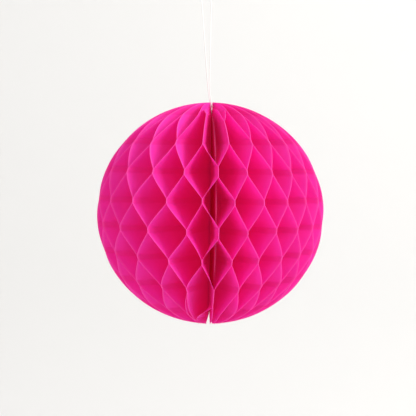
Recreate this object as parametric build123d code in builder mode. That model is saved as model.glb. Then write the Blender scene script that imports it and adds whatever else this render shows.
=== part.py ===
"""A paper honeycomb ball that hangs from a loop of thread.

A pad of tissue leaves, cut to a half disc and bound along its straight edge, fans out right
round that edge. Neighbouring leaves are glued along level lines, on alternate rows, so each
leaf zigzags from one neighbour to the other and the ball opens into rows of diamond cells.
A card cover closes each side of the pad, and the two covers meet back to back at the seam.

+Z runs up the ball's axis, the seam faces -Y, and the origin is the ball's centre.
Lengths are in millimetres, angles in degrees.
"""

import math
import os

from build123d import *

# Ball
BALL_DIAMETER = 200.0
BALL_HEIGHT = 195.0
LEAF_COUNT = 44  # an even number, so that the rows of cells close round the ball
SEAM_AZIMUTH = -90.0

# Tissue leaves and their glue lines
LEAF_THICKNESS = 0.12
GLUE_FILM = 0.16
GLUE_LINE_WIDTH = 5.0
GLUE_LINE_PITCH = 26.4
GLUE_LINE_START = 9.7  # height of the glue line next above the equator

# Card covers and the tape between them
COVER_THICKNESS = 0.4
COVER_INSET = 12.0  # from the leaves' round edge to the cover's
TAPE_THICKNESS = 0.12
TAPE_WIDTH = 10.0
TAPE_HEIGHT = 80.0
TAPE_INSET = 6.0  # from the covers' round edge to the tape's outer corners

# Thread
THREAD_DIAMETER = 0.9
BINDING_DIAMETER = 2.4
BINDING_END_DIAMETER = 4.0
KNOT_DIAMETER = 3.6
KNOT_HEIGHT = 4.4
KNOT_DEPTH = 3.4  # from the top of the ball down to the knot's middle

# The hanging loop's corners in the plane y = 0: across, and up from where it leaves the knot
LOOP_CORNERS = [
    (-0.95, 0.0),
    (-2.9, 10.0),
    (-10.9, 104.0),
    (-1.2, 104.8),
    (-1.9, 9.5),
    (0.0, 0.0),
]
HOOK_RADIUS = 4.2  # of the thread's middle, where the loop goes over its hook
HOOK_TURN = 60.0  # a corner that turns by more than this is one of the two at the hook
ARC_SHARE = 0.45  # of the shorter run beside a corner, taken by that corner's arc

# Clearances
MOVING_GAP = 0.2
TAPE_GAP = 0.02

# Worked out from the sizes above
LEAF_ANGLE = 360 / LEAF_COUNT
LEAF_ANGLE_RAD = math.radians(LEAF_ANGLE)
COVER_NEAR_FACE = TAPE_THICKNESS / 2 + TAPE_GAP
COVER_FAR_FACE = COVER_NEAR_FACE + COVER_THICKNESS
GLUED_OFFSET = (LEAF_THICKNESS + GLUE_FILM) / 2
SEAM_OFFSET = COVER_FAR_FACE + GLUE_FILM + LEAF_THICKNESS / 2
# the nearest to the axis that the leaf on a cover still clears the leaf beside it
LEAF_INNER_RADIUS = (SEAM_OFFSET + LEAF_THICKNESS + MOVING_GAP + GLUED_OFFSET) / (2 * LEAF_ANGLE_RAD)
# the nearest to the axis that a cover still clears the leaf on it
COVER_INNER_RADIUS = (COVER_FAR_FACE + MOVING_GAP + LEAF_THICKNESS / 2 + GLUED_OFFSET) / LEAF_ANGLE_RAD
# the tape's outer edge, with its corners on the covers' outline less the inset
TAPE_OUTER_RADIUS = (BALL_DIAMETER / 2 - COVER_INSET - TAPE_INSET) * math.sqrt(
    1 - (TAPE_HEIGHT / 2 / (BALL_HEIGHT / 2 - COVER_INSET - TAPE_INSET)) ** 2
)
KNOT_MIDDLE = BALL_HEIGHT / 2 - KNOT_DEPTH
KNOT_TOP = KNOT_MIDDLE + KNOT_HEIGHT / 2
# a half disc lies in this plane with its radius along X, its height along Y and its face towards -X
SEAM_PLANE = Plane(origin=(0, 0, 0), x_dir=(0, -1, 0), z_dir=(-1, 0, 0))


def glue_rows():
    """The number and height of each glue line, from one below the ball to one above it."""
    half = BALL_HEIGHT / 2
    first = math.floor((-half - GLUE_LINE_START) / GLUE_LINE_PITCH)
    last = math.ceil((half - GLUE_LINE_START) / GLUE_LINE_PITCH)
    return [(row, GLUE_LINE_START + row * GLUE_LINE_PITCH) for row in range(first, last + 1)]


def glued_place(number, row):
    """Where a leaf is glued on a row: the azimuth, and how far the leaf lies to the left of it.

    Leaf 1 starts at the seam, and the numbers go on anticlockwise seen from above. A leaf meets
    the one before it on every other row, and the one after it on the rows between.
    """
    if (number + row) % 2 == 0:
        place = number - 1
        aside = SEAM_OFFSET if number == 1 else GLUED_OFFSET
    else:
        place = number
        aside = -SEAM_OFFSET if number == LEAF_COUNT else -GLUED_OFFSET
    return SEAM_AZIMUTH + place * LEAF_ANGLE, aside


def make_leaf(number):
    """A leaf as it stands in the open ball: thin strips from the axis outward, one at each edge
    of each glue line, with straight sheet between them, trimmed to the ball's round outline."""
    with BuildPart() as leaf:
        for row, height in glue_rows():
            azimuth, aside = glued_place(number, row)
            for level in (height - GLUE_LINE_WIDTH / 2, height + GLUE_LINE_WIDTH / 2):
                with BuildSketch(Plane.XY.offset(level).rotated((0, 0, azimuth))):
                    with Locations((LEAF_INNER_RADIUS, aside)):
                        Rectangle(BALL_DIAMETER / 2, LEAF_THICKNESS, align=(Align.MIN, Align.CENTER))
        loft(ruled=True)
        with BuildSketch(Plane.XZ):
            Ellipse(BALL_DIAMETER / 2, BALL_HEIGHT / 2)
            Rectangle(BALL_DIAMETER, BALL_HEIGHT, align=(Align.MIN, Align.CENTER), mode=Mode.INTERSECT)
        revolve(axis=Axis.Z, mode=Mode.INTERSECT)
    return leaf.part


def make_cover(low):
    """A card half disc in the seam plane, from this distance on the plane's -X side."""
    with BuildPart() as cover:
        with BuildSketch(SEAM_PLANE.offset(low)):
            Ellipse(BALL_DIAMETER / 2 - COVER_INSET, BALL_HEIGHT / 2 - COVER_INSET)
            with Locations((COVER_INNER_RADIUS, 0)):
                Rectangle(BALL_DIAMETER, BALL_HEIGHT, align=(Align.MIN, Align.CENTER), mode=Mode.INTERSECT)
        extrude(amount=COVER_THICKNESS)
    return cover.part


def save(part, name):
    """Label a finished piece and write it."""
    part.label = name
    export_step(part, f"parts/{name}.step")


os.makedirs("parts", exist_ok=True)

# Tissue leaves: one at each side of the seam, and two shapes that alternate between them
first_leaf = make_leaf(1)
even_leaf = make_leaf(2)
odd_leaf = make_leaf(3)
last_leaf = make_leaf(LEAF_COUNT)
for number in range(1, LEAF_COUNT + 1):
    if number == 1:
        shape, turned = first_leaf, 0
    elif number == LEAF_COUNT:
        shape, turned = last_leaf, 0
    elif number % 2 == 0:
        shape, turned = even_leaf, number - 2
    else:
        shape, turned = odd_leaf, number - 3
    with BuildPart() as tissue_leaf:
        add(shape, rotation=(0, 0, turned * LEAF_ANGLE))
    save(tissue_leaf.part, f"tissue_leaf_{number:02d}")

# Card covers, back to back with the tape between them
save(make_cover(COVER_NEAR_FACE), "left_cover")
save(make_cover(-COVER_FAR_FACE), "right_cover")

with BuildPart() as seam_tape:
    with BuildSketch(SEAM_PLANE.offset(-TAPE_THICKNESS / 2)):
        with Locations((TAPE_OUTER_RADIUS, 0)):
            Rectangle(TAPE_WIDTH, TAPE_HEIGHT, align=(Align.MAX, Align.CENTER))
    extrude(amount=TAPE_THICKNESS)
save(seam_tape.part, "seam_tape")

# Binding thread along the axis, knotted at its foot
binding_top = KNOT_MIDDLE - KNOT_HEIGHT / 2 - MOVING_GAP
binding_foot = -BALL_HEIGHT / 2 + KNOT_DEPTH
with BuildPart() as binding_thread:
    with BuildSketch(Plane.XY.offset(binding_foot)):
        Circle(BINDING_DIAMETER / 2)
    extrude(amount=binding_top - binding_foot)
    with Locations((0, 0, binding_foot)):
        Sphere(BINDING_END_DIAMETER / 2)
save(binding_thread.part, "binding_thread")

# Knot that ties the hanging loop to the binding, sunk between the leaves at the top
with BuildPart() as hanging_knot:
    with BuildSketch(Plane.XZ):
        with Locations((0, KNOT_MIDDLE)):
            Ellipse(KNOT_DIAMETER / 2, KNOT_HEIGHT / 2)
            Rectangle(KNOT_DIAMETER, KNOT_HEIGHT, align=(Align.MIN, Align.CENTER), mode=Mode.INTERSECT)
    revolve(axis=Axis.Z)
save(hanging_knot.part, "hanging_knot")

# Hanging loop: two strands from the knot, pulled straight by the ball, round the hook's place
loop_base = KNOT_TOP + MOVING_GAP
loop_points = [Vector(across, 0, loop_base + up) for across, up in LOOP_CORNERS]
runs = [(b - a) for a, b in zip(loop_points, loop_points[1:])]
radii = []
for run, next_run in zip(runs, runs[1:]):
    turn = run.get_angle(next_run)
    widest = ARC_SHARE * min(run.length, next_run.length) / math.tan(math.radians(turn / 2))
    radii.append(min(widest, HOOK_RADIUS) if turn > HOOK_TURN else widest)
print("hanging loop's arcs, mm:", [round(radius, 1) for radius in radii])
with BuildPart() as hanging_loop:
    with BuildLine() as route:
        FilletPolyline(*loop_points, radius=radii)
    with BuildSketch(Plane(origin=loop_points[0], z_dir=runs[0])):
        Circle(THREAD_DIAMETER / 2)
    sweep(path=route.wire())
thread_section = math.pi * THREAD_DIAMETER**2 / 4
print(
    "hanging loop's volume against its section times its length:",
    round(hanging_loop.part.volume / (thread_section * route.wire().length), 4),
    "of",
    round(route.wire().length, 1),
    "mm",
)
save(hanging_loop.part, "hanging_loop")
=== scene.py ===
"""A paper honeycomb ball that hangs from a loop of thread, in a plain pale studio.

Forty-four tissue sheets fan out round a bound axis, each zigzagging between its neighbours'
glue lines. Two card covers meet at the seam, with a strip of tape between them. A knot ties the
binding to the loop. Lengths are in metres, and the seam faces -Y.
"""

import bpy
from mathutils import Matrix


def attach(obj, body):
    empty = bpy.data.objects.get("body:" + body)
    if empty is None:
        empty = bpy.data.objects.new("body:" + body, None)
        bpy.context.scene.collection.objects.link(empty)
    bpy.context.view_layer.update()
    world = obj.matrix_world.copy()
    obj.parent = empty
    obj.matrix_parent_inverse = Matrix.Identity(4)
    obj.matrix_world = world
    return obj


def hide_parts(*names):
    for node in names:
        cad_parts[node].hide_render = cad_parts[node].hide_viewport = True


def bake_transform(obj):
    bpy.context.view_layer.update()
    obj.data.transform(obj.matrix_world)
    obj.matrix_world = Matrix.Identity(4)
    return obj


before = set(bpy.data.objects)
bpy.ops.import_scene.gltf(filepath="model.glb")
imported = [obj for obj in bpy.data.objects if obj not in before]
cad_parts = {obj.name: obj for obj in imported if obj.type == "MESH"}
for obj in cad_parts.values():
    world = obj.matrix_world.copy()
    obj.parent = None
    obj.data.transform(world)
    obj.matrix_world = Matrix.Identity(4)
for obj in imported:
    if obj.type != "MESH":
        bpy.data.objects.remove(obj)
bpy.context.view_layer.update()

import logging
import math
from dataclasses import dataclass
from enum import Enum
from typing import Any, Sequence

import bpy
import numpy as np
from mathutils import Matrix, Vector

log = logging.getLogger("honeycomb_ball")

MM = 0.001
HAIR = 1e-6  # less than this is nothing
Colour = tuple[float, float, float, float]


# ---------------------------------------------------------------- shader maths


class Wire:
    """A value in a node tree, so that shader maths is written as ordinary maths."""

    def __init__(self, tree: "ShaderTree", socket: bpy.types.NodeSocket) -> None:
        """Wrap an output socket of a node in this tree."""
        self.tree = tree
        self.socket = socket

    def __add__(self, other: "Wire | float") -> "Wire":
        """Sum."""
        return self.tree.maths("ADD", self, other)

    def __radd__(self, other: float) -> "Wire":
        """Sum, with the number first."""
        return self.tree.maths("ADD", other, self)

    def __sub__(self, other: "Wire | float") -> "Wire":
        """Difference."""
        return self.tree.maths("SUBTRACT", self, other)

    def __rsub__(self, other: float) -> "Wire":
        """Difference, with the number first."""
        return self.tree.maths("SUBTRACT", other, self)

    def __mul__(self, other: "Wire | float") -> "Wire":
        """Product."""
        return self.tree.maths("MULTIPLY", self, other)

    def __rmul__(self, other: float) -> "Wire":
        """Product, with the number first."""
        return self.tree.maths("MULTIPLY", other, self)

    def clamped(self) -> "Wire":
        """The value held between 0 and 1."""
        return self.tree.maths("MINIMUM", self.tree.maths("MAXIMUM", self, 0.0), 1.0)

    def stretched(self, gain: float, offset: float) -> "Wire":
        """The value times a gain, moved by an offset, and held between 0 and 1."""
        return (self * gain + offset).clamped()

    def wave(self) -> "Wire":
        """A sine of the value, moved to run from 0 to 1."""
        return self.tree.maths("SINE", self, 0.0) * 0.5 + 0.5


class ShaderTree:
    """The node tree of one material, filled through a few short methods."""

    def __init__(self, name: str) -> None:
        """Start an empty material of this name."""
        self.material = bpy.data.materials.new(name)
        self.material.use_nodes = True
        self.nodes = self.material.node_tree.nodes
        self.links = self.material.node_tree.links
        self.nodes.clear()

    def make(self, kind: str, settings: dict[str, Any], inputs: dict[Any, Any]) -> bpy.types.Node:
        """Add any node.

        Args:
            kind: The node's type.
            settings: Properties set first, such as an operation.
            inputs: Sockets by name or number, each with a value or a Wire.

        Returns:
            The new node.
        """
        node = self.nodes.new(kind)
        for key, value in settings.items():
            setattr(node, key, value)
        for key, value in inputs.items():
            if isinstance(value, Wire):
                self.links.new(value.socket, node.inputs[key])
            else:
                node.inputs[key].default_value = value
        return node

    def take(
        self, kind: str, output: str | int, settings: dict[str, Any], inputs: dict[Any, Any]
    ) -> Wire:
        """Add any node and take one of its outputs as a Wire."""
        return Wire(self, self.make(kind, settings, inputs).outputs[output])

    def maths(self, operation: str, first: Wire | float, second: Wire | float) -> Wire:
        """Add a Math node on two values."""
        return self.take("ShaderNodeMath", 0, {"operation": operation}, {0: first, 1: second})

    def place(self, stretch: tuple[float, float, float] = (1.0, 1.0, 1.0)) -> Wire:
        """The point on the piece in the ball's own frame, stretched along each axis."""
        point = self.take("ShaderNodeTexCoord", "Object", {}, {})
        return self.take("ShaderNodeMapping", "Vector", {}, {"Vector": point, "Scale": stretch})

    def attribute(self, name: str) -> Wire:
        """A number that the mesh carries at each of its points."""
        return self.take("ShaderNodeAttribute", "Fac", {"attribute_name": name}, {})

    def noise(self, vector: Wire, scale: float, detail: float = 3.0, rough: float = 0.55) -> Wire:
        """Smooth seeded noise, from about 0.25 to 0.75."""
        inputs = {"Vector": vector, "Scale": scale, "Detail": detail, "Roughness": rough}
        return self.take("ShaderNodeTexNoise", "Fac", {}, inputs)

    def blend(self, factor: Wire, first: Wire | Colour, second: Wire | Colour) -> Wire:
        """Mix two colours: the first at factor 0, the second at 1."""
        inputs = {0: factor, 6: first, 7: second}
        return self.take("ShaderNodeMix", 2, {"data_type": "RGBA"}, inputs)

    def surface(self, **inputs: Any) -> bpy.types.Node:
        """Add the Principled shader, with underscores in its sockets' names for spaces."""
        named = {key.replace("_", " "): value for key, value in inputs.items()}
        return self.make("ShaderNodeBsdfPrincipled", {}, named)

    def bump(self, height: Wire, strength: float, distance: float) -> Wire:
        """A Bump node on a height, in metres at full strength."""
        inputs = {"Height": height, "Strength": strength, "Distance": distance}
        return self.take("ShaderNodeBump", "Normal", {}, inputs)

    def finish(self, shader: bpy.types.Node) -> bpy.types.Material:
        """Join a shader to the output.

        Args:
            shader: The node whose first output is the whole surface.

        Returns:
            The finished material.
        """
        out = self.nodes.new("ShaderNodeOutputMaterial")
        self.links.new(shader.outputs[0], out.inputs["Surface"])
        return self.material


# -------------------------------------------------------------------- finishes


@dataclass(frozen=True)
class TissueFinish:
    """Dyed tissue paper: matt, clouded, with fine fibres, and light that comes through it."""

    deep: Colour = (0.87, 0.048, 0.58, 1.0)
    bright: Colour = (0.91, 0.072, 0.68, 1.0)
    # paler pink: the lighter fibres, and the painted highlight along the cut edge
    edge: Colour = (0.98, 0.17, 0.72, 1.0)
    glued: Colour = (0.76, 0.025, 0.36, 1.0)
    through: Colour = (0.92, 0.066, 0.62, 1.0)
    let_through: float = 0.50
    painted_glow: Colour = (1.0, 0.030, 0.20, 1.0)  # painted glow, emitted in place of light the sheets pass to one another
    painted_glow_strength: float = 0.12
    fibre_scale: float = 1500.0
    cloud_scale: float = 55.0
    cloud_contrast: tuple[float, float] = (2.4, -0.7)  # gain and offset, as below
    fibre_contrast: tuple[float, float] = (1.5, -0.62)
    roughness: tuple[float, float] = (0.3, 0.66)
    fibre_show: float = 0.22
    stain: tuple[float, float] = (0.05, 0.35)  # of a glue line: even, and with the clouds
    # strength of the painted highlight along the cut edge
    rim_show: float = 0.85
    gloss: float = 0.22
    relief: tuple[float, float] = (0.35, 0.06 * MM)  # the bump's strength and height

    def material(self) -> bpy.types.Material:
        """Build the material.

        Cloud noise moves the colour between the deep and the bright dye, the glue lines stain it
        darker, and the cut edge is painted paler as a painted highlight. Stretched noise lifts the
        fibres. A painted glow, which the sheet emits, stands in for light passed between sheets.

        Returns:
            The finished material.
        """
        tree = ShaderTree("tissue_paper")
        fibres = tree.noise(tree.place((1.0, 1.0, 0.3)), self.fibre_scale, 4.0, 0.6)
        clouds = tree.noise(tree.place(), self.cloud_scale, 3.0)
        rim = tree.attribute("rim")
        glue = tree.attribute("glue")
        dye = tree.blend(clouds.stretched(*self.cloud_contrast), self.deep, self.bright)
        dye = tree.blend(fibres.stretched(*self.fibre_contrast) * self.fibre_show, dye, self.edge)
        stain = glue * (self.stain[0] + self.stain[1] * clouds)
        dye = tree.blend(stain.clamped(), dye, self.glued)
        # painted highlight: the colour is lifted towards the paler pink near the cut edge
        dye = tree.blend((rim * self.rim_show).clamped(), dye, self.edge)
        normal = tree.bump(fibres + 0.6 * clouds, *self.relief)
        sheet = tree.surface(
            Base_Color=dye,
            Roughness=fibres.stretched(*self.roughness),
            Specular_IOR_Level=self.gloss,
            Normal=normal,
            # painted glow: the sheet emits crimson light of its own
            Emission_Color=self.painted_glow,
            Emission_Strength=self.painted_glow_strength,
        )
        through = tree.make("ShaderNodeBsdfTranslucent", {}, {"Color": self.through})
        mix = tree.make("ShaderNodeMixShader", {}, {0: self.let_through})
        tree.links.new(sheet.outputs[0], mix.inputs[1])
        tree.links.new(through.outputs[0], mix.inputs[2])
        return tree.finish(mix)


@dataclass(frozen=True)
class CardFinish:
    """Uncoated pink card with pulp flecks and a slightly rubbed, paler edge."""

    sheet: Colour = (0.66, 0.035, 0.20, 1.0)
    fleck: Colour = (0.50, 0.02, 0.11, 1.0)
    edge: Colour = (0.72, 0.07, 0.24, 1.0)
    pulp_scale: float = 1800.0
    fleck_scale: float = 420.0
    fleck_contrast: tuple[float, float] = (6.0, -3.9)  # gain and offset, as below
    roughness: tuple[float, float] = (0.3, 0.72)
    gloss: float = 0.25
    fleck_show: float = 0.6
    rim_show: float = 0.8
    relief: tuple[float, float] = (0.4, 0.05 * MM)  # the bump's strength and height

    def material(self) -> bpy.types.Material:
        """Build the material: fine noise for pulp, sparse flecks, a paler cut edge.

        Returns:
            The finished material.
        """
        tree = ShaderTree("pink_card")
        pulp = tree.noise(tree.place(), self.pulp_scale, 5.0, 0.65)
        specks = tree.noise(tree.place((1.0, 1.0, 0.5)), self.fleck_scale, 2.0)
        flecks = specks.stretched(*self.fleck_contrast) * self.fleck_show
        colour = tree.blend(flecks, self.sheet, self.fleck)
        rim = tree.attribute("rim") * self.rim_show
        colour = tree.blend(rim.clamped(), colour, self.edge)
        shader = tree.surface(
            Base_Color=colour,
            Roughness=pulp.stretched(*self.roughness),
            Specular_IOR_Level=self.gloss,
            Normal=tree.bump(pulp, *self.relief),
        )
        return tree.finish(shader)


@dataclass(frozen=True)
class TapeFinish:
    """Thin double-sided tape: milky adhesive film with small trapped bubbles."""

    film: Colour = (0.72, 0.30, 0.34, 1.0)
    bubble: Colour = (0.84, 0.62, 0.60, 1.0)
    bubble_scale: float = 700.0
    bubble_contrast: tuple[float, float] = (7.0, -4.3)  # gain and offset, as below
    roughness: tuple[float, float] = (0.25, 0.30)
    relief: tuple[float, float] = (0.3, 0.04 * MM)  # the bump's strength and height

    def material(self) -> bpy.types.Material:
        """Build the material: clouded film with pale bubbles where cells of noise peak.

        Returns:
            The finished material.
        """
        tree = ShaderTree("adhesive_film")
        cells = tree.noise(tree.place(), self.bubble_scale, 2.0)
        bubbles = cells.stretched(*self.bubble_contrast)
        colour = tree.blend(bubbles, self.film, self.bubble)
        shader = tree.surface(
            Base_Color=colour,
            Roughness=bubbles.stretched(*self.roughness),
            Normal=tree.bump(bubbles, *self.relief),
        )
        return tree.finish(shader)


class Ply(Enum):
    """How a thread's twist is laid out on its piece."""

    ALONG_AXIS = "along the ball's axis"
    ALONG_LENGTH = "along the piece's own length"
    KNOTTED = "along each winding"


@dataclass(frozen=True)
class CottonFinish:
    """White cotton thread: twisted plies with a soft fuzzy surface."""

    ply: Ply
    raised: Colour = (0.98, 0.975, 0.97, 1.0)
    # painted shade: the greyer white of the grooves between the plies
    furrow_shade: Colour = (0.80, 0.78, 0.77, 1.0)
    turns: float = 180.0  # of the plies, over the whole length
    fuzz_scale: float = 5200.0
    roughness: tuple[float, float] = (0.2, 0.78)  # gain and offset
    gloss: float = 0.2
    relief: tuple[float, float] = (0.6, 0.08 * MM)  # the bump's strength and height

    def material(self) -> bpy.types.Material:
        """Build the material.

        A sine of the distance along the thread plus the angle round it makes the plies, and
        fine noise roughens them. The grooves between the plies get a painted shade, a greyer white.

        Returns:
            The finished material.
        """
        tree = ShaderTree(f"cotton_{self.ply.name.lower()}")
        fuzz = tree.noise(tree.place(), self.fuzz_scale, 3.0)
        if self.ply is Ply.ALONG_LENGTH:
            uv = tree.take("ShaderNodeTexCoord", "UV", {}, {})
            parts = tree.make("ShaderNodeSeparateXYZ", {}, {"Vector": uv})
            along, round_it = Wire(tree, parts.outputs[0]), Wire(tree, parts.outputs[1])
            plies = (along * (2 * math.pi * self.turns) + round_it * (4 * math.pi)).wave()
        else:
            plies = (tree.attribute("twist") * (2 * math.pi)).wave()
        # painted shade in the grooves between the plies, with fine noise for the fibres' own tone
        shade = (plies * 0.8 + fuzz * 0.5 - 0.1).clamped()
        shader = tree.surface(
            Base_Color=tree.blend(shade, self.furrow_shade, self.raised),
            Roughness=fuzz.stretched(*self.roughness),
            Specular_IOR_Level=self.gloss,
            Normal=tree.bump(plies + 0.4 * fuzz, *self.relief),
        )
        return tree.finish(shader)


@dataclass(frozen=True)
class StudioFinish:
    """Matt painted plaster for the wall and floor."""

    paint: Colour = (0.81, 0.807, 0.802, 1.0)
    shade: Colour = (0.78, 0.777, 0.772, 1.0)
    broad_scale: float = 0.8
    fine_scale: float = 60.0
    roughness: float = 0.95
    gloss: float = 0.1
    relief: tuple[float, float] = (0.1, 0.4 * MM)  # the bump's strength and height

    def material(self) -> bpy.types.Material:
        """Build the material: two near whites in broad soft noise.

        Returns:
            The finished material.
        """
        tree = ShaderTree("studio_plaster")
        broad = tree.noise(tree.place(), self.broad_scale, 2.0)
        fine = tree.noise(tree.place(), self.fine_scale, 4.0)
        shader = tree.surface(
            Base_Color=tree.blend(broad, self.paint, self.shade),
            Roughness=self.roughness,
            Specular_IOR_Level=self.gloss,
            Normal=tree.bump(fine, *self.relief),
        )
        return tree.finish(shader)


# ---------------------------------------------------------------------- meshes


def smooth(t: np.ndarray) -> np.ndarray:
    """Ease from 0 to 1: three t squared less two t cubed, held outside that range."""
    t = np.clip(t, 0.0, 1.0)
    return t * t * (3.0 - 2.0 * t)


class Ends(Enum):
    """How the first and last rings of a mesh are closed."""

    STRIP = "by a strip between the two long sides of a thin sheet's ring"
    FAN = "by a fan from each ring to its middle"
    LOOP = "by joining the last ring to the first"


def mesh_from_rings(
    name: str, rings: np.ndarray, marks: dict[str, np.ndarray], ends: Ends
) -> bpy.types.Object:
    """Make a closed mesh from closed rings of points, one after another.

    Each point is joined to the next one in its ring and to the same one in the next ring.

    Args:
        name: The piece's name.
        rings: Points, as rings by points by three, each ring anticlockwise about the way on.
        marks: Numbers for each point, as rings by points, by attribute name.
        ends: How the first and last rings are closed.

    Returns:
        The new object.
    """
    count, around = rings.shape[:2]
    index = np.arange(count * around).reshape(count, around)
    after = np.roll(index, -1, axis=1)
    if ends is Ends.LOOP:
        nearer, farther = (index, after), (np.roll(index, -1, axis=0), np.roll(after, -1, axis=0))
    else:
        nearer, farther = (index[:-1], after[:-1]), (index[1:], after[1:])
    quads = np.stack([nearer[0], nearer[1], farther[1], farther[0]], axis=-1).reshape(-1, 4)
    points = rings.reshape(-1, 3)
    values = {key: mark.reshape(-1) for key, mark in marks.items()}
    extra: list[list[int]] = []
    if ends is Ends.STRIP:
        half = around // 2
        front, back = index[:, :half], index[:, half:][:, ::-1]
        low = np.stack([front[0, 1:], front[0, :-1], back[0, :-1], back[0, 1:]], axis=-1)
        high = np.stack([front[-1, :-1], front[-1, 1:], back[-1, 1:], back[-1, :-1]], axis=-1)
        quads = np.concatenate([quads, low, high])
    if ends is Ends.FAN:
        middles = np.stack([rings[0].mean(axis=0), rings[-1].mean(axis=0)])
        points = np.concatenate([points, middles])
        values = {key: np.append(mark, [mark[0], mark[-1]]) for key, mark in values.items()}
        low = np.stack([after[0], index[0], np.full(around, count * around)], axis=-1)
        high = np.stack([index[-1], after[-1], np.full(around, count * around + 1)], axis=-1)
        extra = np.concatenate([low, high]).tolist()
    mesh = bpy.data.meshes.new(name)
    mesh.from_pydata(points.tolist(), [], quads.tolist() + extra)
    mesh.polygons.foreach_set("use_smooth", np.ones(len(mesh.polygons), bool))
    for key, mark in values.items():
        attribute = mesh.attributes.new(key, "FLOAT", "POINT")
        attribute.data.foreach_set("value", mark.astype(np.float32))
    mesh.update()
    piece = bpy.data.objects.new(name, mesh)
    bpy.context.collection.objects.link(piece)
    return piece


def there_and_back(run: np.ndarray) -> np.ndarray:
    """Numbers along a sheet's run in, with the same ones again for its run back."""
    return np.concatenate([run, run[:, ::-1]], axis=1)


def sheet_rings(
    height: np.ndarray,
    reach: np.ndarray,
    turn: np.ndarray,
    aside: np.ndarray,
    thickness: np.ndarray | float,
) -> np.ndarray:
    """Rings of points round a thin upright sheet that stands out from the ball's axis.

    A point lies at its reach along its azimuth, and its sideways distance square to that. The
    first run goes in along the columns half a thickness to the left, and the second comes back
    along them half a thickness to the right, so a ring is anticlockwise seen from above.

    Args:
        height: Heights, as rows by one.
        reach: Distances from the axis, as rows by columns, from the outer edge in.
        turn: Azimuths from the seam, in radians, anticlockwise seen from above, rows by one.
        aside: Distances to the left of the azimuth's line, rows by columns.
        thickness: The sheet's thickness, one number or rows by columns.

    Returns:
        Points as rows by twice the columns by three.
    """
    azimuth = turn - math.pi / 2
    runs = []
    for side in (0.5, -0.5):
        across = aside + side * thickness
        x = reach * np.cos(azimuth) - across * np.sin(azimuth)
        y = reach * np.sin(azimuth) + across * np.cos(azimuth)
        run = np.stack([x, y, np.broadcast_to(height, x.shape)], axis=-1)
        runs.append(run if side > 0 else run[:, ::-1])
    return np.concatenate(runs, axis=1)


def tube_rings(
    path: np.ndarray, radius: np.ndarray, around: int, up: Vector
) -> tuple[np.ndarray, np.ndarray]:
    """Carry a circle along a path.

    At each point the circle's two directions are square to the path's own direction: the first
    is that direction crossed with a fixed one, the second is crossed again.

    Args:
        path: Points of the middle line, as points by three.
        radius: The circle's radius, as points by around or points by one.
        around: Points on each circle.
        up: A direction that the path never runs along.

    Returns:
        The rings, and the angle round each of their points.
    """
    ahead = np.gradient(path, axis=0)
    ahead /= np.linalg.norm(ahead, axis=1, keepdims=True)
    first = np.cross(np.array(up), ahead)
    first /= np.linalg.norm(first, axis=1, keepdims=True)
    second = np.cross(ahead, first)
    angle = np.linspace(0, 2 * math.pi, around, endpoint=False)[None, :, None]
    ring = first[:, None] * np.cos(angle) + second[:, None] * np.sin(angle)
    rings = path[:, None] + ring * np.broadcast_to(radius, (len(path), around))[..., None]
    return rings, np.broadcast_to(angle[..., 0], rings.shape[:2])


def dress(piece: bpy.types.Object, material: bpy.types.Material) -> None:
    """Give a piece its material and log it.

    Args:
        piece: The piece.
        material: What it is made of.
    """
    piece.data.materials.append(material)
    log.info("%s: %s, dressed in %s", piece.name, piece.type.lower(), material.name)


# ---------------------------------------------------------------- tissue sheets


# The few glue lines near the seam that stand most unevenly: (place, row): degrees round
FRONT_NUDGES: dict[tuple[int, int], float] = {
    (43, 0): 1.2, (42, -1): 2.4, (43, -2): 1.0, (41, 0): 1.0, (41, -2): 0.7,
    (1, 0): 0.6, (1, -2): 0.4, (43, 2): -0.6, (2, 1): 0.3, (42, -3): -0.8,
}

# A few glue lines near the ends of the seam run long or have come loose:
# (leaf, row): (lowest height, highest height, place between leaves)
LOOSE_LINES: dict[tuple[int, int], tuple[float, float, float]] = {
    (1, 2): (61.0 * MM, 80.0 * MM, 1.0),
    (2, 2): (61.0 * MM, 80.0 * MM, 1.0),
    (1, 3): (92.6 * MM, 94.4 * MM, 0.5),
    (2, 3): (92.0 * MM, 94.4 * MM, 2.0),
    (44, 2): (60.4 * MM, 86.0 * MM, 43.0),
    (43, 2): (60.4 * MM, 86.0 * MM, 43.0),
    (44, 3): (93.0 * MM, 95.0 * MM, 42.4),
    (43, 3): (93.0 * MM, 95.0 * MM, 42.1),
    (1, -3): (-79.0 * MM, -62.5 * MM, 0.0),
    (44, -3): (-79.0 * MM, -62.5 * MM, 44.0),
    (1, -4): (-96.0 * MM, -91.0 * MM, 0.1),
    (44, -4): (-96.0 * MM, -90.5 * MM, 41.6),
    (43, -4): (-96.0 * MM, -90.5 * MM, 41.3),
    (23, -4): (-96.0 * MM, -90.5 * MM, 24.6),
    (24, -4): (-96.0 * MM, -90.5 * MM, 24.8),
}

# How far the seam's outer edge leans to the right on each row where the two end leaves meet
SEAM_LEAN: dict[int, float] = {1: 1.2 * MM, -1: 1.7 * MM, -3: -0.4 * MM}


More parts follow.
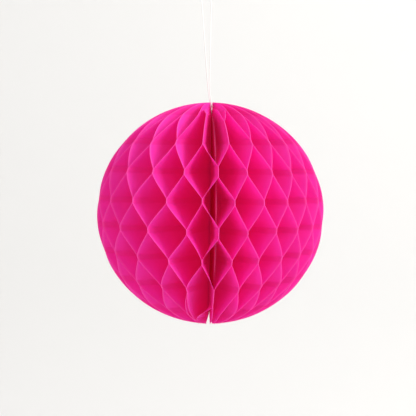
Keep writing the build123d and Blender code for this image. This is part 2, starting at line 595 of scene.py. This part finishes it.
@dataclass
class GluePattern:
    """Where the leaves are glued: level lines, on alternate rows, right round the ball."""

    leaves: int = 44
    pitch: float = 25.3 * MM
    first_row: int = -5
    last_row: int = 4
    row_zero: float = 12.0 * MM
    line_width: float = 4.2 * MM
    seam_line_width: float = 9.0 * MM
    crowding: float = 0.13  # radians by which the fan leans round to the left at the sides
    side_rise: float = 0.11  # share by which the lower rows rise at the sides, towards a level one
    level_height: float = 20.0 * MM
    uneven_turn: float = math.radians(0.25)
    most_uneven_turn: float = 0.01  # radians
    uneven_height: float = 0.45 * MM
    seed: int = 44

    def __post_init__(self) -> None:
        """Draw the small unevenness of every glue line, shared by the two leaves on it."""
        rng = np.random.default_rng(self.seed)
        shape = (self.leaves + 1, self.last_row - self.first_row + 1)
        most = self.most_uneven_turn
        self.turn_error = rng.normal(0.0, self.uneven_turn, shape).clip(-most, most)
        self.height_error = rng.normal(0.0, self.uneven_height, shape)
        for (place, row), nudge in FRONT_NUDGES.items():
            self.turn_error[place, row - self.first_row] = math.radians(nudge)
        self.turn_error[[0, self.leaves]] = 0.0
        self.height_error[self.leaves] = self.height_error[0]

    @property
    def rows(self) -> np.ndarray:
        """The numbers of the rows of glue lines, from the lowest."""
        return np.arange(self.first_row, self.last_row + 1)

    def fanned(self, place: np.ndarray) -> np.ndarray:
        """The azimuth from the seam of a place between leaves, in radians.

        An even share of the turn, less the crowding times the square of its sine: the fan is a
        little open on the left of the seam and a little crowded on the right.

        Args:
            place: Places between leaves, from 0 at the seam, anticlockwise seen from above.

        Returns:
            Their azimuths.
        """
        even = place * 2 * math.pi / self.leaves
        return even - self.crowding * np.sin(even) ** 2

    def level(self, place: int, row: int) -> float:
        """The height of a glue line.

        The rows are evenly spaced, and each one below the level height rises at the sides, by
        a share of its depth below that height times the square of the azimuth's sine.

        Args:
            place: The place between leaves.
            row: The row's number.

        Returns:
            The height.
        """
        even = place * 2 * math.pi / self.leaves
        height = self.row_zero + row * self.pitch
        rise = self.side_rise * max(self.level_height - height, 0.0) * math.sin(even) ** 2
        return height + rise + self.height_error[place, row - self.first_row]


@dataclass
class TissueLeaves:
    """The forty-four tissue leaves, each a thin closed sheet."""

    pattern: GluePattern
    finish: TissueFinish = TissueFinish()
    still_leaf: int = 22
    radius: float = 100.0 * MM
    half_height: float = 97.5 * MM
    thickness: float = 0.26 * MM  # at the cut edge, which catches the light
    inner_thickness: float = 0.06 * MM
    glued_offset: float = 0.15 * MM
    seam_offset: float = 0.70 * MM
    bound_radius: float = 1.3 * MM
    pole_reach: float = 0.6 * MM  # by which the sheet's topmost row passes the binding
    least_width: float = 0.3 * MM
    last_line: float = 0.96  # share of the half height up to which glue lines get rows of points
    fold_travel: float = math.radians(170.0)
    folded_gap: float = 0.08 * MM
    dented: Sequence[int] = (43, 44, 1, 2)
    dent: float = 0.94  # share of those leaves' outline that is pushed in round the knot
    dent_start: float = 89.5 * MM
    dent_rise: float = 4.0 * MM
    knot_foot: float = 90.0 * MM
    knot_depth: float = 3.0 * MM
    knot_room: float = 3.0 * MM
    foot_opening: float = 9.0 * MM
    foot_depth: float = 8.5 * MM
    cover_radius: float = 88.0 * MM
    cover_half_height: float = 85.5 * MM
    closing_share: float = 0.75  # of the way from a cover's edge out to the leaf's
    ease: float = 0.12
    wander: float = 0.35 * MM
    steps: int = 150
    columns: Sequence[float] = (
        0.0, 0.0015, 0.008, 0.018, 0.035, 0.07, 0.12, 0.19, 0.28, 0.39, 0.52, 0.68, 0.85, 1.0,
    )
    rim_depth: float = 2.6 * MM

    def line(self, leaf: int, row: int) -> tuple[float, float, float, float]:
        """One glue line as a leaf meets it.

        A leaf meets the one before it on every other row, and the one after it between them.

        Args:
            leaf: The leaf's number, from 1 at the right of the seam.
            row: The row's number.

        Returns:
            The line's lowest and highest height, its azimuth, and the leaf's distance aside.
        """
        pattern = self.pattern
        before = (leaf + row) % 2 == 0
        place = leaf - 1 if before else leaf
        at_seam = place in (0, pattern.leaves)
        offset = self.seam_offset if at_seam else self.glued_offset
        column = row - pattern.first_row
        width = pattern.seam_line_width if at_seam else pattern.line_width
        middle = pattern.level(place, row)
        low, high = middle - width / 2, middle + width / 2
        turn = pattern.fanned(np.array(float(place))) + pattern.turn_error[place, column]
        aside = offset if before else -offset
        if (leaf, row) in LOOSE_LINES:
            low, high, loose_place = LOOSE_LINES[leaf, row]
            turn = pattern.fanned(np.array(loose_place))
        return low, high, float(turn), aside

    def heights(self) -> np.ndarray:
        """Heights of a sheet's rows: the sine of evenly spaced angles, from pole to pole."""
        end = math.acos((self.bound_radius + self.pole_reach) / self.radius)
        return self.half_height * np.sin(np.linspace(-end, end, self.steps))

    def build(self) -> None:
        """Make every leaf, dress it, and hide the model's own leaf in its place."""
        material = self.finish.material()
        rng = np.random.default_rng(self.pattern.seed + 1)
        for leaf in range(1, self.pattern.leaves + 1):
            piece, share = self.make_leaf(leaf, rng)
            dress(piece, material)
            self.tie(piece, leaf)
        log.info("tissue leaves made: %d", self.pattern.leaves)

    def make_leaf(self, leaf: int, rng: np.random.Generator) -> tuple[bpy.types.Object, np.ndarray]:
        """Make one leaf.

        Its azimuth holds still across each glue line and eases from one line to the next in
        between. Between lines it bows by a sine, more towards the rim.

        Args:
            leaf: The leaf's number.
            rng: Source of the small bows.

        Returns:
            The piece, and each point's share of its body's turn as the fan folds.
        """
        lines = np.array([self.line(leaf, int(row)) for row in self.pattern.rows])
        count = len(lines)
        levels = lines[:, :2].reshape(-1)
        inside = levels[np.abs(levels) < self.last_line * self.half_height]
        z = np.sort(np.concatenate([self.heights(), inside]))
        order = np.interp(z, levels, np.repeat(np.arange(count), 2))
        lower = np.minimum(order.astype(int), count - 2)
        part = order - lower
        eased = (1 - self.ease) * part + self.ease * smooth(part)
        turn = (1 - eased) * lines[lower, 2] + eased * lines[lower + 1, 2]
        offset = (1 - eased) * lines[lower, 3] + eased * lines[lower + 1, 3]
        bows = rng.normal(0.0, self.wander, count)

        outer, inner = self.outline(leaf, z)
        reach = outer[:, None] - (outer - inner)[:, None] * np.array(self.columns)[None, :]
        out = (reach / self.radius) ** 2
        aside = offset[:, None] + (np.sin(math.pi * part) * bows[lower])[:, None] * out
        if leaf in (1, self.pattern.leaves):
            leans = np.array([SEAM_LEAN.get(int(row), 0.0) for row in self.pattern.rows])
            lean = (1 - eased) * leans[lower] + eased * leans[lower + 1]
            aside = self.seam_aside(z, reach, outer, aside, lean)
        # rim: 1 at the cut edge, easing to 0 inwards; it thickens the sheet there, and the material
        # paints a highlight with it
        rim = 1 - smooth((outer[:, None] - reach) / self.rim_depth)
        thickness = self.inner_thickness + (self.thickness - self.inner_thickness) * rim
        rings = sheet_rings(z[:, None], reach, turn[:, None], aside, thickness)

        on_line = ((part < HAIR) | (part > 1 - HAIR)).astype(float)
        glue = np.broadcast_to(on_line[:, None], reach.shape)
        marks = {"rim": there_and_back(rim), "glue": there_and_back(glue)}
        piece = mesh_from_rings(f"tissue_sheet_{leaf:02d}", rings, marks, Ends.STRIP)
        share = self.fold_share(leaf, turn[:, None], aside, reach)
        return piece, there_and_back(share).reshape(-1)

    def outline(self, leaf: int, z: np.ndarray) -> tuple[np.ndarray, np.ndarray]:
        """Where a leaf's outer and inner edges lie.

        The outer edge is half an ellipse, dented round the knot on the leaves beside the seam.
        The inner edge stands on the binding, eases out round the knot, and opens in a straight
        line at the foot.

        Args:
            leaf: The leaf's number.
            z: Heights.

        Returns:
            The distances of the outer and the inner edge from the axis at those heights.
        """
        outer = self.radius * np.sqrt(1 - (z / self.half_height) ** 2)
        foot = np.clip((-z - (self.half_height - self.foot_depth)) / self.foot_depth, 0, 1)
        head = smooth((z - self.knot_foot) / self.knot_depth)
        inner = self.bound_radius + self.foot_opening * foot + self.knot_room * head
        if leaf in self.dented:
            outer = outer * (1 - self.dent * smooth((z - self.dent_start) / self.dent_rise))
        return np.maximum(outer, inner + self.least_width), inner

    def seam_aside(
        self,
        z: np.ndarray,
        reach: np.ndarray,
        outer: np.ndarray,
        aside: np.ndarray,
        lean: np.ndarray,
    ) -> np.ndarray:
        """Sideways distances of an end leaf, which lies on its cover and closes up beyond it.

        Past the cover's round edge the distance eases down to that of two leaves glued
        together, and the edge leans over by the row's own amount.

        Args:
            z: Heights of the rows.
            reach: Distances from the axis, rows by columns.
            outer: The outer edge's distance from the axis on each row.
            aside: Sideways distances before closing up, rows by columns.
            lean: How far the edge leans to the right on each row.

        Returns:
            The new distances, rows by columns.
        """
        inside = np.clip(1 - (z / self.cover_half_height) ** 2, 0, 1)
        cover = self.cover_radius * np.sqrt(inside)[:, None]
        way = np.maximum(self.closing_share * (outer[:, None] - cover), MM)
        past = smooth((reach - cover) / way)
        closed = np.sign(aside) * np.minimum(np.abs(aside), self.glued_offset)
        return aside * (1 - past) + closed * past + lean[:, None] * past

    def middle(self, leaf: int) -> float:
        """The azimuth from the seam of the middle of a leaf, in radians, in an even fan."""
        return (leaf - 0.5) * 2 * math.pi / self.pattern.leaves

    def mover(self, leaf: int) -> int:
        """The leaf whose body moves this one: its own, or the one before for the still leaf."""
        return leaf if leaf != self.still_leaf else leaf - 1

    def fold_share(
        self, leaf: int, turn: np.ndarray, aside: np.ndarray, reach: np.ndarray
    ) -> np.ndarray:
        """Each point's share of its body's turn, so that the fan shuts without coming apart.

        One leaf at the rear keeps still, and the rest fold towards it. A point turns in
        proportion to its own azimuth from that leaf, so leaves that meet at a glue line stay
        together there. Where that would leave it outside the cover at its side of the shut fan,
        it turns on until it lies against the cover's inner face.

        Args:
            leaf: The leaf's number.
            turn: Azimuths from the seam, in radians, rows by one.
            aside: Distances to the left of the azimuth's line, rows by columns.
            reach: Distances from the axis, rows by columns.

        Returns:
            The shares, rows by columns.
        """
        still = self.middle(self.still_leaf)
        body = still - self.middle(self.mover(leaf))
        rate = self.fold_travel / still
        side = 1.0 if body > 0 else -1.0
        from_still = side * (still - turn) + 0 * reach
        if leaf != self.still_leaf:
            from_cover = turn if side > 0 else 2 * math.pi - turn
            depth = leaf - 1 if side > 0 else self.pattern.leaves - leaf
            shut = (1 - rate) * from_cover + side * aside / reach
            wanted = (self.seam_offset + depth * self.folded_gap) / reach
            spare = np.maximum((1 - rate) * from_still, 0.0)
            from_still = from_still + np.clip(wanted - shut, 0.0, spare) / rate
        return from_still / abs(body)

    def tie(self, piece: bpy.types.Object, leaf: int) -> None:
        """Hide the model's matching leaf, and fix the sheet's placement into its points.

        Args:
            piece: The leaf's piece.
            leaf: The leaf's number.
        """
        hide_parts(f"tissue_leaf_{leaf:02d}")
        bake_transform(piece)


# ------------------------------------------------------------ covers and tape


class Side(Enum):
    """The two sides of the seam, as the sign of X there."""

    LEFT = -1
    RIGHT = 1


@dataclass
class SeamCard:
    """The two card covers, back to back at the seam, and the tape that joins them."""

    finish: CardFinish = CardFinish()
    tape_finish: TapeFinish = TapeFinish()
    radius: float = 88.0 * MM
    half_height: float = 85.5 * MM
    near_face: float = 0.08 * MM
    thickness: float = 0.40 * MM
    inner_radius: float = 7.5 * MM
    pole_reach: float = 0.5 * MM  # by which a cover's topmost row passes its inner edge
    steps: int = 121
    columns: Sequence[float] = (0.0, 0.002, 0.005, 0.02, 0.06, 0.15, 0.3, 0.5, 0.75, 1.0)
    thinned: Sequence[float] = (0.55, 0.9)  # share of the thickness at the first two columns
    rim_depth: float = 1.2 * MM
    tape_width: float = 10.0 * MM
    tape_height: float = 80.0 * MM
    tape_outer: float = 70.9 * MM
    tape_thickness: float = 0.12 * MM
    tape_corner: float = 1.6 * MM
    tape_steps: int = 61
    tape_columns: int = 7

    def build(self) -> None:
        """Make both covers and the tape."""
        material = self.finish.material()
        for side in Side:
            name = f"{side.name.lower()}_cover"
            piece = self.make_cover(f"{name}_card", side)
            dress(piece, material)
            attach(piece, name)
            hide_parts(name)
        tape = self.make_tape()
        dress(tape, self.tape_finish.material())
        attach(tape, "left_cover")
        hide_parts("seam_tape")

    def make_cover(self, name: str, side: Side) -> bpy.types.Object:
        """Make a half disc of card whose thickness draws in at its round edge.

        Its outline is half an ellipse, cut off along a straight inner edge.

        Args:
            name: The piece's name.
            side: Which side of the seam it is on.

        Returns:
            The piece.
        """
        end = math.acos((self.inner_radius + self.pole_reach) / self.radius)
        z = self.half_height * np.sin(np.linspace(-end, end, self.steps))[:, None]
        outer = self.radius * np.sqrt(1 - (z / self.half_height) ** 2)
        reach = outer - (outer - self.inner_radius) * np.array(self.columns)[None, :]
        full = np.ones_like(reach)
        aside = side.value * (self.near_face + self.thickness / 2) * full
        drawn = self.thickness * full
        drawn[:, : len(self.thinned)] *= np.array(self.thinned)
        rings = sheet_rings(z, reach, np.zeros_like(z), aside, drawn)
        rim = 1 - smooth((outer - reach) / self.rim_depth)
        return mesh_from_rings(name, rings, {"rim": there_and_back(rim)}, Ends.STRIP)

    def make_tape(self) -> bpy.types.Object:
        """Make the strip of tape: a tall thin rectangle with its corners rounded off.

        Near each end the strip's two sides draw in along a quarter circle.

        Returns:
            The piece.
        """
        half = self.tape_height / 2
        z = half * np.sin(np.linspace(-math.pi / 2, math.pi / 2, self.tape_steps))[:, None]
        into = np.clip((np.abs(z) - (half - self.tape_corner)) / self.tape_corner, 0, 1)
        drawn = self.tape_corner * (1 - np.sqrt(1 - into**2))
        across = np.linspace(0, 1, self.tape_columns)[None, :]
        outer = self.tape_outer - drawn
        inner = self.tape_outer - self.tape_width + drawn
        reach = outer + (inner - outer) * across
        aside = np.zeros_like(reach)
        rings = sheet_rings(z, reach, np.zeros_like(z), aside, self.tape_thickness)
        return mesh_from_rings("seam_tape_film", rings, {}, Ends.STRIP)


# --------------------------------------------------------------------- thread


@dataclass
class Binding:
    """The doubled thread along the axis and the knot that ties it to the hanging loop."""

    radius: float = 1.2 * MM
    top: float = 91.6 * MM
    foot: float = -88.5 * MM
    lay: float = 3.4 * MM
    ply_rise: float = 0.1  # share of the radius
    twist_pitch: float = 1.1 * MM
    tip: float = 1.2 * MM
    blunt: float = 0.1  # share of the radius left at the very end
    steps: int = 420
    around: int = 24
    knot_middle: float = 94.1 * MM
    knot_scale: float = 0.43 * MM
    knot_rise: float = 1.3 * MM
    knot_steps: int = 180
    thread: float = 0.9 * MM
    thread_around: int = 20
    stub_foot: float = 92.1 * MM
    stub_top: float = 96.45 * MM
    stub_lean: float = 0.25 * MM
    stub_steps: int = 13
    exits: Sequence[float] = (-0.95 * MM, 0.0)

    def build(self) -> None:
        """Make the binding, which turns with the ball, and the knot above it."""
        cord = self.make_binding()
        dress(cord, CottonFinish(Ply.ALONG_AXIS).material())
        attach(cord, "core")
        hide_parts("binding_thread")
        material = CottonFinish(Ply.KNOTTED).material()
        first = None
        for name, path, way_up, ends in self.knot_paths():
            radius = self.thread / 2 * np.ones((len(path), 1))
            rings, angle = tube_rings(path, radius, self.thread_around, way_up)
            length = np.cumsum(np.linalg.norm(np.gradient(path, axis=0), axis=1))[:, None]
            marks = {"twist": length / self.twist_pitch + angle / math.pi}
            piece = mesh_from_rings(name, rings, marks, ends)
            dress(piece, material)
            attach(piece, "knot")
            first = first or piece
        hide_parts("hanging_knot")

    def make_binding(self) -> bpy.types.Object:
        """Make the binding: a round cord of two plies.

        Its radius rises and falls twice round it, and that pattern moves on by one rise in
        every length of lay. Both ends draw in along a quarter circle to a blunt tip.

        Returns:
            The piece.
        """
        z = np.linspace(self.foot, self.top, self.steps)
        path = np.stack([0 * z, 0 * z, z], axis=-1)
        angle = np.linspace(0, 2 * math.pi, self.around, endpoint=False)[None, :]
        phase = 2 * angle - 2 * math.pi * z[:, None] / self.lay
        ends = np.minimum(z - self.foot, self.top - z)[:, None] / self.tip
        drawn = np.sqrt(1 - (1 - np.clip(ends, 0, 1)) ** 2) * (1 - self.blunt) + self.blunt
        radius = self.radius * (1 - self.ply_rise + self.ply_rise * np.cos(phase)) * drawn
        rings, _ = tube_rings(path, radius, self.around, Vector((1, 0, 0)))
        twist = phase / (2 * math.pi) + z[:, None] / self.twist_pitch
        return mesh_from_rings("binding_cord", rings, {"twist": twist}, Ends.FAN)

    def knot_paths(self) -> list[tuple[str, np.ndarray, Vector, Ends]]:
        """Middle lines of the knot's windings and of the stubs of thread at it.

        The knot is a trefoil: across, sin t plus twice sin 2t, and cos t less twice cos 2t;
        up, less sin 3t. A stub runs from inside the knot to where each strand leaves it, and
        leans aside by a sine on its way.

        Returns:
            For each tube its name, its middle line, a direction it never runs along, and how
            its ends close.
        """
        t = np.linspace(0, 2 * math.pi, self.knot_steps + 1)[:-1]
        across = np.stack([np.sin(t) + 2 * np.sin(2 * t), np.cos(t) - 2 * np.cos(2 * t)], axis=-1)
        rise = -np.sin(3 * t) * self.knot_rise + self.knot_middle
        windings = np.column_stack([across * self.knot_scale, rise])
        tubes = [("knot_windings", windings, Vector((0, 0, 1)), Ends.LOOP)]
        s = np.linspace(0, 1, self.stub_steps)[:, None]
        low = np.array([0.0, 0.0, self.stub_foot])
        for number, exit_x in enumerate(self.exits, 1):
            high = np.array([exit_x, 0.0, self.stub_top])
            lean = np.array([self.stub_lean * (-1) ** number, 0.0, 0.0])
            path = low + (high - low) * s + lean * np.sin(math.pi * s)
            tubes.append((f"knot_strand_{number}", path, Vector((0, 1, 0)), Ends.FAN))
        return tubes


@dataclass
class HangingThread:
    """The loop of thread: two strands up from the knot, pulled straight, round a hook's place."""

    diameter: float = 0.9 * MM
    length: float = 0.2153
    route: Sequence[tuple[float, float]] = (
        (-0.00095, 0.0965),
        (-0.0029, 0.1065),
        (-0.00375, 0.1165),
        (-0.01044, 0.1951),
        (-0.0109, 0.2005),
        (-0.0012, 0.2013),
        (-0.00124, 0.1959),
        (-0.00183, 0.1155),
        (-0.0019, 0.1060),
        (0.0, 0.0965),
    )

    def build(self) -> None:
        """Make the loop as one smooth curve."""
        curve = bpy.data.curves.new("hanging_thread", "CURVE")
        curve.dimensions = "3D"
        spline = curve.splines.new("NURBS")
        spline.points.add(len(self.route) - 1)
        points = np.array([(x, 0.0, z, 1.0) for x, z in self.route])
        spline.points.foreach_set("co", points.reshape(-1))
        spline.order_u = 3
        spline.use_endpoint_u = True
        spline.resolution_u = 24
        curve.bevel_depth = self.diameter / 2
        curve.bevel_resolution = 6
        curve.use_fill_caps = True
        piece = bpy.data.objects.new("hanging_thread", curve)
        bpy.context.collection.objects.link(piece)
        dress(piece, CottonFinish(Ply.ALONG_LENGTH).material())
        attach(piece, "hanger")
        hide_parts("hanging_loop")


# --------------------------------------------------------------------- studio


@dataclass(frozen=True)
class Lamp:
    """A square soft lamp that faces a point."""

    name: str
    place: tuple[float, float, float]
    size: float
    power: float
    colour: tuple[float, float, float]
    at: tuple[float, float, float] = (0.0, 0.0, 0.0)

    def build(self) -> None:
        """Make the lamp and turn it towards its point."""
        data = bpy.data.lights.new(self.name, "AREA")
        data.size, data.energy, data.color = self.size, self.power, self.colour
        lamp = bpy.data.objects.new(self.name, data)
        lamp.location = self.place
        lamp.rotation_mode = "QUATERNION"
        towards = Vector(self.at) - Vector(self.place)
        lamp.rotation_quaternion = towards.to_track_quat("-Z", "Y")
        bpy.context.collection.objects.link(lamp)
        log.info("%s: %.0f W", self.name, self.power)


@dataclass
class Studio:
    """A pale floor and wall, soft lights and the camera."""

    distance: float = 1.5
    frame_width: float = 0.3677
    azimuth: float = math.radians(-3.1)
    elevation: float = math.radians(1.8)
    roll: float = math.radians(0.6)
    aim: tuple[float, float] = (-0.0021, 0.0044)
    floor: float = -1.05
    wall: float = 2.5
    cove: float = 0.8
    half_width: float = 9.0
    front: float = -9.0
    top: float = 5.0
    across: int = 9  # points across the backdrop, and along its level part
    round_cove: int = 17
    sensor: float = 36.0
    air: Colour = (1.0, 0.995, 0.985, 1.0)
    air_strength: float = 0.66
    bounces: int = 16
    diffuse_bounces: int = 12
    lamps: Sequence[Lamp] = (
        Lamp("key_lamp", (1.9, -1.7, 1.1), 1.3, 56.0, (1.0, 0.98, 0.95)),
        Lamp("fill_lamp", (-1.8, -2.2, 0.4), 1.8, 13.0, (0.96, 0.98, 1.0)),
        Lamp("wall_lamp", (2.2, 0.9, 2.2), 2.0, 52.0, (1.0, 0.99, 0.97), (0.6, 2.5, 0.2)),
    )

    def build_camera(self) -> None:
        """Place the camera before the seam, a little to its left and above the middle."""
        a, e = self.azimuth, self.elevation
        back = Vector((math.sin(a) * math.cos(e), -math.cos(a) * math.cos(e), math.sin(e)))
        turned = (-back).to_track_quat("-Z", "Y")
        right, up = turned @ Vector((1, 0, 0)), turned @ Vector((0, 1, 0))
        data = bpy.data.cameras.new("camera")
        data.sensor_width = self.sensor
        data.lens = data.sensor_width * self.distance / self.frame_width
        data.clip_start, data.clip_end = 0.05, 60.0
        camera = bpy.data.objects.new("camera", data)
        camera.location = back * self.distance + right * self.aim[0] + up * self.aim[1]
        camera.rotation_mode = "QUATERNION"
        camera.rotation_quaternion = turned @ Matrix.Rotation(self.roll, 3, "Z").to_quaternion()
        bpy.context.collection.objects.link(camera)
        bpy.context.scene.camera = camera
        log.info("camera: %.0f mm lens", data.lens)

    def build(self) -> None:
        """Make the backdrop, the sky's even light and the lamps."""
        self.make_backdrop()
        world = bpy.data.worlds.new("studio_air")
        world.use_nodes = True
        background = world.node_tree.nodes["Background"]
        background.inputs["Color"].default_value = self.air
        background.inputs["Strength"].default_value = self.air_strength
        scene = bpy.context.scene
        scene.world = world
        for lamp in self.lamps:
            lamp.build()
        scene.view_settings.view_transform = "Standard"
        scene.cycles.max_bounces = self.bounces
        scene.cycles.diffuse_bounces = self.diffuse_bounces

    def make_backdrop(self) -> None:
        """Make floor and wall as one sheet: level, a quarter circle, then upright."""
        bend = np.linspace(0, math.pi / 2, self.round_cove)
        foot = self.wall - self.cove
        level = np.linspace(self.front, foot, self.across)[:-1]
        y = np.concatenate([level, foot + self.cove * np.sin(bend), [self.wall]])
        curve = self.floor + self.cove * (1 - np.cos(bend))
        z = np.concatenate([np.full(level.size, self.floor), curve, [self.top]])
        x = np.linspace(-self.half_width, self.half_width, self.across)
        grid = np.stack(np.broadcast_arrays(x[:, None], y, z), axis=-1)
        index = np.arange(grid[..., 0].size).reshape(grid.shape[:2])
        quads = np.stack([index[:-1, :-1], index[1:, :-1], index[1:, 1:], index[:-1, 1:]], axis=-1)
        mesh = bpy.data.meshes.new("backdrop")
        mesh.from_pydata(grid.reshape(-1, 3).tolist(), [], quads.reshape(-1, 4).tolist())
        mesh.polygons.foreach_set("use_smooth", np.ones(len(mesh.polygons), bool))
        backdrop = bpy.data.objects.new("backdrop", mesh)
        bpy.context.collection.objects.link(backdrop)
        backdrop.data.materials.append(StudioFinish().material())


def main() -> None:
    """Build the ball piece by piece."""
    logging.basicConfig(level=logging.INFO, format="%(name)s: %(message)s")
    studio = Studio()
    studio.build_camera()
    HangingThread().build()
    Binding().build()
    SeamCard().build()
    TissueLeaves(GluePattern()).build()
    studio.build()


if __name__ == "__main__":
    main()
